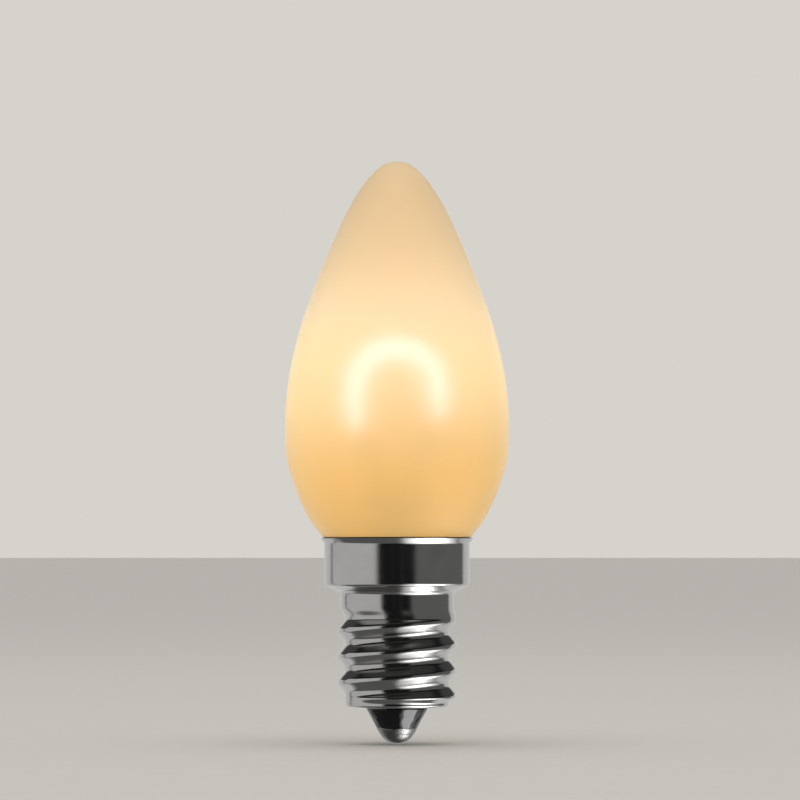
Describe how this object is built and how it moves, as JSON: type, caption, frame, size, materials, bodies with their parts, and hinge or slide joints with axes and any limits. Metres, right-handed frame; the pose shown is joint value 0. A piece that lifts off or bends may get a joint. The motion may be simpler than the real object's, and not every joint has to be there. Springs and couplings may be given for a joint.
{
  "type": "led filament bulb",
  "caption": "Small candle-shaped LED lamp: frosted glass with a glowing arched filament on a nickel-plated screw cap with a flared skirt, rolled thread and black glass tip insulator.",
  "frame": {"origin": "tip of the centre contact, on the lamp's axis", "axes": "+Z along the lamp's axis from the contact to the tip of the glass, the filament's arch lies in the XZ plane, and the pictured side faces -Y"},
  "size_m": [0.0222, 0.0222, 0.0578],
  "materials": {
    "frosted_glass": "fine frost, lit warm from inside",
    "clear_glass": "clear, fire polished",
    "nickel_plate": "polished nickel plate on brass",
    "black_glass": "glossy black glass",
    "tin_solder": "dull solder with a bright skin",
    "brass": "bright",
    "nickel_wire": "drawn nickel",
    "dumet_wire": "borated copper skin, red brown",
    "copper_wire": "drawn copper",
    "tinned_wire": "tinned",
    "filament_carrier": "flexible film",
    "led_die": "sapphire",
    "phosphor_silicone": "phosphor filled silicone, lit",
    "cement": "cured basing cement",
    "board_laminate": "glass fibre laminate with solder mask",
    "chip_moulding": "moulded epoxy",
    "chip_ceramic": "glazed alumina",
    "can_sleeve": "heat shrunk sleeve on an aluminium can",
    "resistor_coat": "epoxy coat"
  },
  "bodies": {
    "root": {"glass_envelope": "frosted_glass", "glass_stem": "clear_glass", "screw_shell": "nickel_plate", "base_insulator": "black_glass", "contact_solder": "tin_solder", "shell_solder": "tin_solder", "board_solder": "tin_solder", "contact_eyelet": "brass", "inner_lead_left": "nickel_wire", "inner_lead_right": "nickel_wire", "filament_tab_left": "nickel_wire", "filament_tab_right": "nickel_wire", "dumet_seal_left": "dumet_wire", "dumet_seal_right": "dumet_wire", "outer_lead_left": "copper_wire", "outer_lead_right": "copper_wire", "shell_wire": "copper_wire", "rectifier_legs": "tinned_wire", "regulator_legs": "tinned_wire", "capacitor_leads": "tinned_wire", "fuse_lead_contact": "tinned_wire", "fuse_lead_board": "tinned_wire", "filament_strip": "filament_carrier", "led_chips": "led_die", "phosphor_jacket": "phosphor_silicone", "basing_cement": "cement", "driver_board": "board_laminate", "bridge_rectifier": "chip_moulding", "regulator_chip": "chip_moulding", "chip_resistors": "chip_ceramic", "smoothing_capacitor": "can_sleeve", "fuse_resistor": "resistor_coat"}
  },
  "joints": []
}
